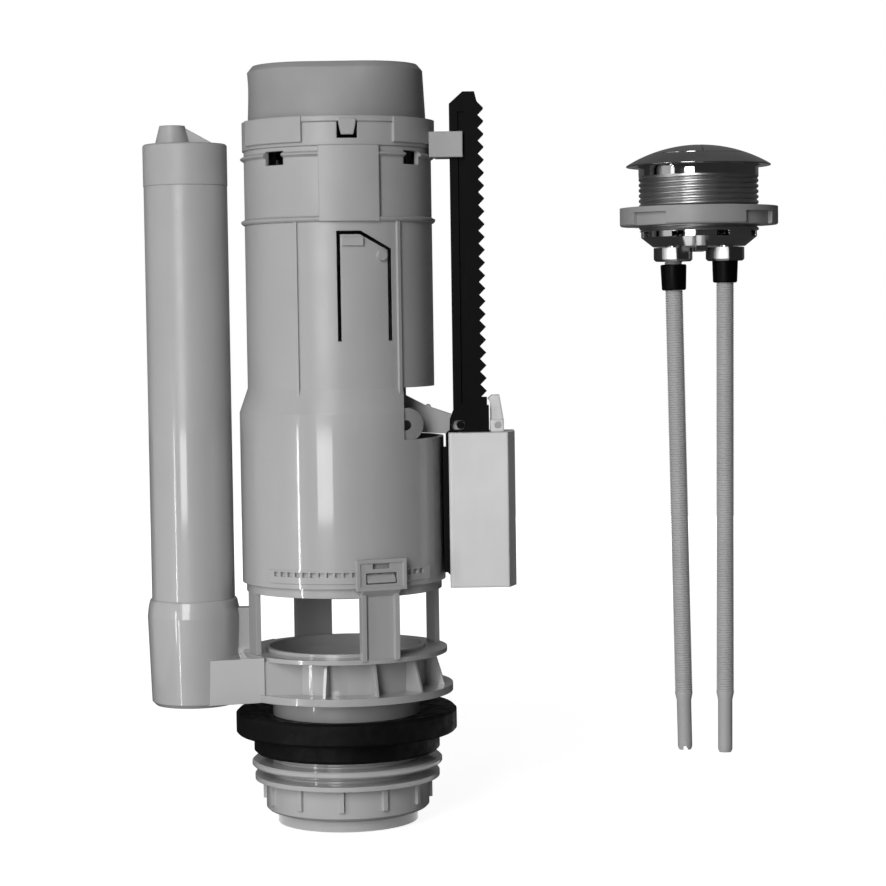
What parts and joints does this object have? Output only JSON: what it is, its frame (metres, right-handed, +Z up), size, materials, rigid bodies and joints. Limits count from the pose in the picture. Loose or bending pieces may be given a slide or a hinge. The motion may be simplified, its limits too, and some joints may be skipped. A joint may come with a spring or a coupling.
{
  "type": "toilet flush valve",
  "caption": "Dual-flush drop valve with threaded tail, overflow tube, float on a toothed rack, and a domed push-button unit with threaded push rods.",
  "frame": {"origin": "centre of the tail's lower end", "axes": "+Z up along the tail and the lifting stem, -Y to the front, +X to the rack and the button unit"},
  "size_m": [0.2575, 0.0898, 0.304],
  "materials": {
    "shell_plastic": "satin moulded, pale grey",
    "float_plastic": "fine matt, pale grey",
    "rack_plastic": "satin moulded, black",
    "gasket_rubber": "smooth black rubber",
    "chrome_plate": "polished plating on plastic",
    "nut_plastic": "moulded grey",
    "sleeve_plastic": "moulded black",
    "rod_plastic": "moulded grey, threaded",
    "spring_steel": "bright drawn wire"
  },
  "bodies": {
    "housing": {"outlet_base": "shell_plastic", "tail_gasket": "gasket_rubber", "tail_washer": "shell_plastic", "lock_nut": "shell_plastic", "overflow_tube": "shell_plastic", "overflow_cap": "shell_plastic", "canister": "shell_plastic", "head_housing": "shell_plastic", "lock_collar": "shell_plastic", "top_cup": "shell_plastic", "lever_pin": "shell_plastic", "arm_pivot_pin": "shell_plastic", "button_bezel": "chrome_plate", "button_nut": "nut_plastic", "button_cage": "chrome_plate"},
    "plunger": {"plunger_stem": "shell_plastic", "seal_carrier": "shell_plastic", "seal_ring": "gasket_rubber", "seal_retainer": "shell_plastic", "plunger_float": "shell_plastic"},
    "lever": {"lift_lever": "shell_plastic"},
    "full_pad": {"press_pad_full": "shell_plastic", "pad_spring_full": "spring_steel"},
    "half_pad": {"press_pad_half": "shell_plastic", "pad_spring_half": "spring_steel"},
    "rack": {"float_rack": "rack_plastic"},
    "arm": {"float_arm": "shell_plastic", "rack_arm_pin": "shell_plastic"},
    "box": {"float_box": "float_plastic", "pawl_pin": "shell_plastic"},
    "pawl": {"rack_pawl": "float_plastic"},
    "full_button": {"button_full": "chrome_plate", "button_spring_full": "spring_steel", "rod_socket_full": "chrome_plate", "rod_sleeve_full": "sleeve_plastic", "push_rod_full": "rod_plastic"},
    "half_button": {"button_half": "chrome_plate", "button_spring_half": "spring_steel", "rod_socket_half": "chrome_plate", "rod_sleeve_half": "sleeve_plastic", "push_rod_half": "rod_plastic"}
  },
  "joints": [
    {"name": "plunger_lift", "type": "slide", "parent": "housing", "child": "plunger", "axis": [0, 0, 1], "range_m": [-0.0234, 0]},
    {"name": "lever_turn", "type": "hinge", "parent": "housing", "child": "lever", "pos_m": [-0.018, 0, 0.254], "axis": [0, 1, 0], "range_deg": [0, 55.9]},
    {"name": "full_pad_press", "type": "slide", "parent": "housing", "child": "full_pad", "axis": [0, 0, 1], "range_m": [0, 0.00984], "deforming": ["pad_spring_full"]},
    {"name": "half_pad_press", "type": "slide", "parent": "housing", "child": "half_pad", "axis": [0, 0, 1], "range_m": [-0.0098, 0], "stiffness_N_per_m": 60, "springref_m": 0.006, "deforming": ["pad_spring_half"]},
    {"name": "rack_lift", "type": "slide", "parent": "housing", "child": "rack", "axis": [0, 0, 1], "range_m": [0, 0.01]},
    {"name": "arm_turn", "type": "hinge", "parent": "housing", "child": "arm", "pos_m": [0.0265, -0.007, 0.1616], "axis": [0, -1, 0], "range_deg": [0, 27.5]},
    {"name": "box_setting", "type": "slide", "parent": "rack", "child": "box", "axis": [0, 0, 1], "range_m": [0, 0.0974]},
    {"name": "pawl_turn", "type": "hinge", "parent": "box", "child": "pawl", "pos_m": [0.0632, -0.007, 0.1604], "axis": [0, 1, 0], "range_deg": [0, 10], "stiffness_Nm_per_rad": 0.01, "springref_deg": -11.46},
    {"name": "full_button_press", "type": "slide", "parent": "housing", "child": "full_button", "axis": [0, 0, 1], "range_m": [-0.005, 0], "stiffness_N_per_m": 150, "springref_m": 0.008, "deforming": ["button_spring_full"]},
    {"name": "half_button_press", "type": "slide", "parent": "housing", "child": "half_button", "axis": [0, 0, 1], "range_m": [-0.005, 0], "stiffness_N_per_m": 150, "springref_m": 0.008, "deforming": ["button_spring_half"]}
  ],
  "couplings": [
    {"joint": "lever_turn", "follows": "plunger_lift", "rad_per_m": -41.619},
    {"joint": "full_pad_press", "follows": "plunger_lift", "ratio": -0.41994},
    {"joint": "arm_turn", "follows": "rack_lift", "rad_per_m": 47.79}
  ]
}
